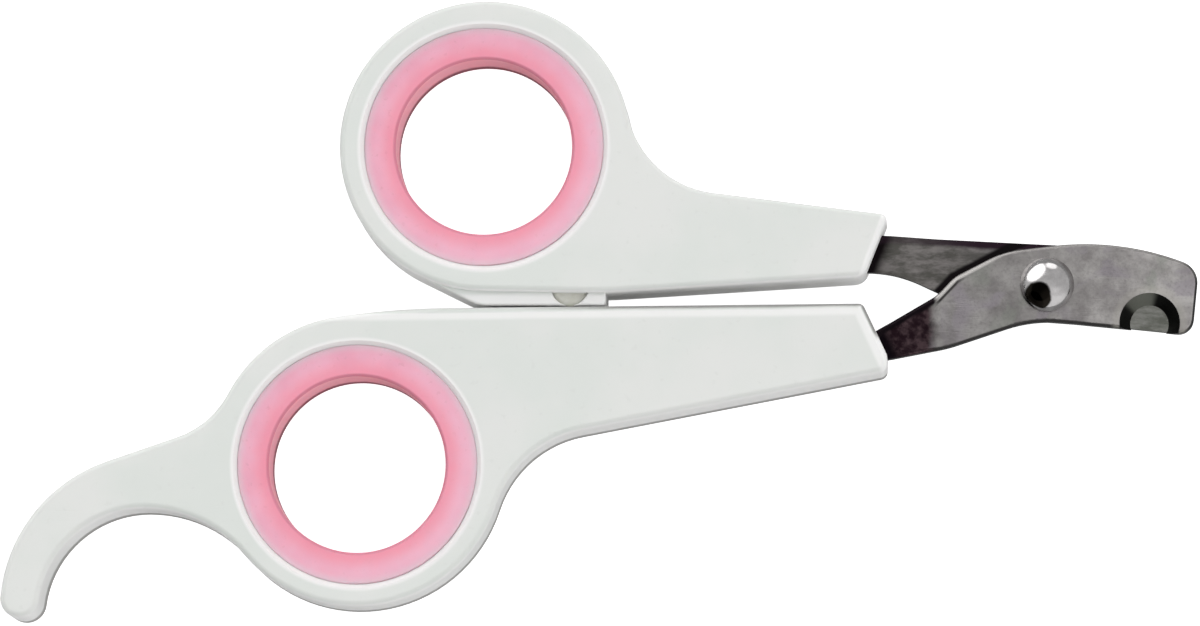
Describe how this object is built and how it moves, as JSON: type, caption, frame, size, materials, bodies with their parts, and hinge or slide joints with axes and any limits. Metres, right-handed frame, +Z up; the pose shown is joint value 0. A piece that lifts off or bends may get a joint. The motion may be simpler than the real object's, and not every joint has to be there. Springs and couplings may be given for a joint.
{
  "type": "scissor nail clipper",
  "caption": "Scissor-style pet nail clipper with offset finger loops, a little-finger hook and short overlapping jaws that close round a notch.",
  "frame": {"origin": "centre of the footprint of the closed clipper lying flat, on the surface that it lies on", "axes": "+X along the length towards the jaws, +Y towards the upper handle, +Z up out of the face with the rivet's dome"},
  "size_m": [0.1244, 0.0647, 0.008],
  "materials": {
    "handle_plastic": "satin white moulding",
    "ring_rubber": "soft pink, satin",
    "blade_steel": "tumbled grey steel",
    "rivet_chrome": "polished",
    "bumper_rubber": "translucent white, matt"
  },
  "bodies": {
    "lower": {"lower_handle": "handle_plastic", "lower_finger_ring": "ring_rubber", "front_blade": "blade_steel", "pivot_rivet": "rivet_chrome", "rivet_washer": "rivet_chrome"},
    "upper": {"upper_handle": "handle_plastic", "upper_finger_ring": "ring_rubber", "rear_blade": "blade_steel", "stop_bumper": "bumper_rubber"}
  },
  "joints": [
    {"name": "blade_pivot", "type": "hinge", "parent": "lower", "child": "upper", "pos_m": [0.04675, 0.00285, 0.004], "axis": [0, 0, -1], "range_deg": [0, 55]}
  ]
}
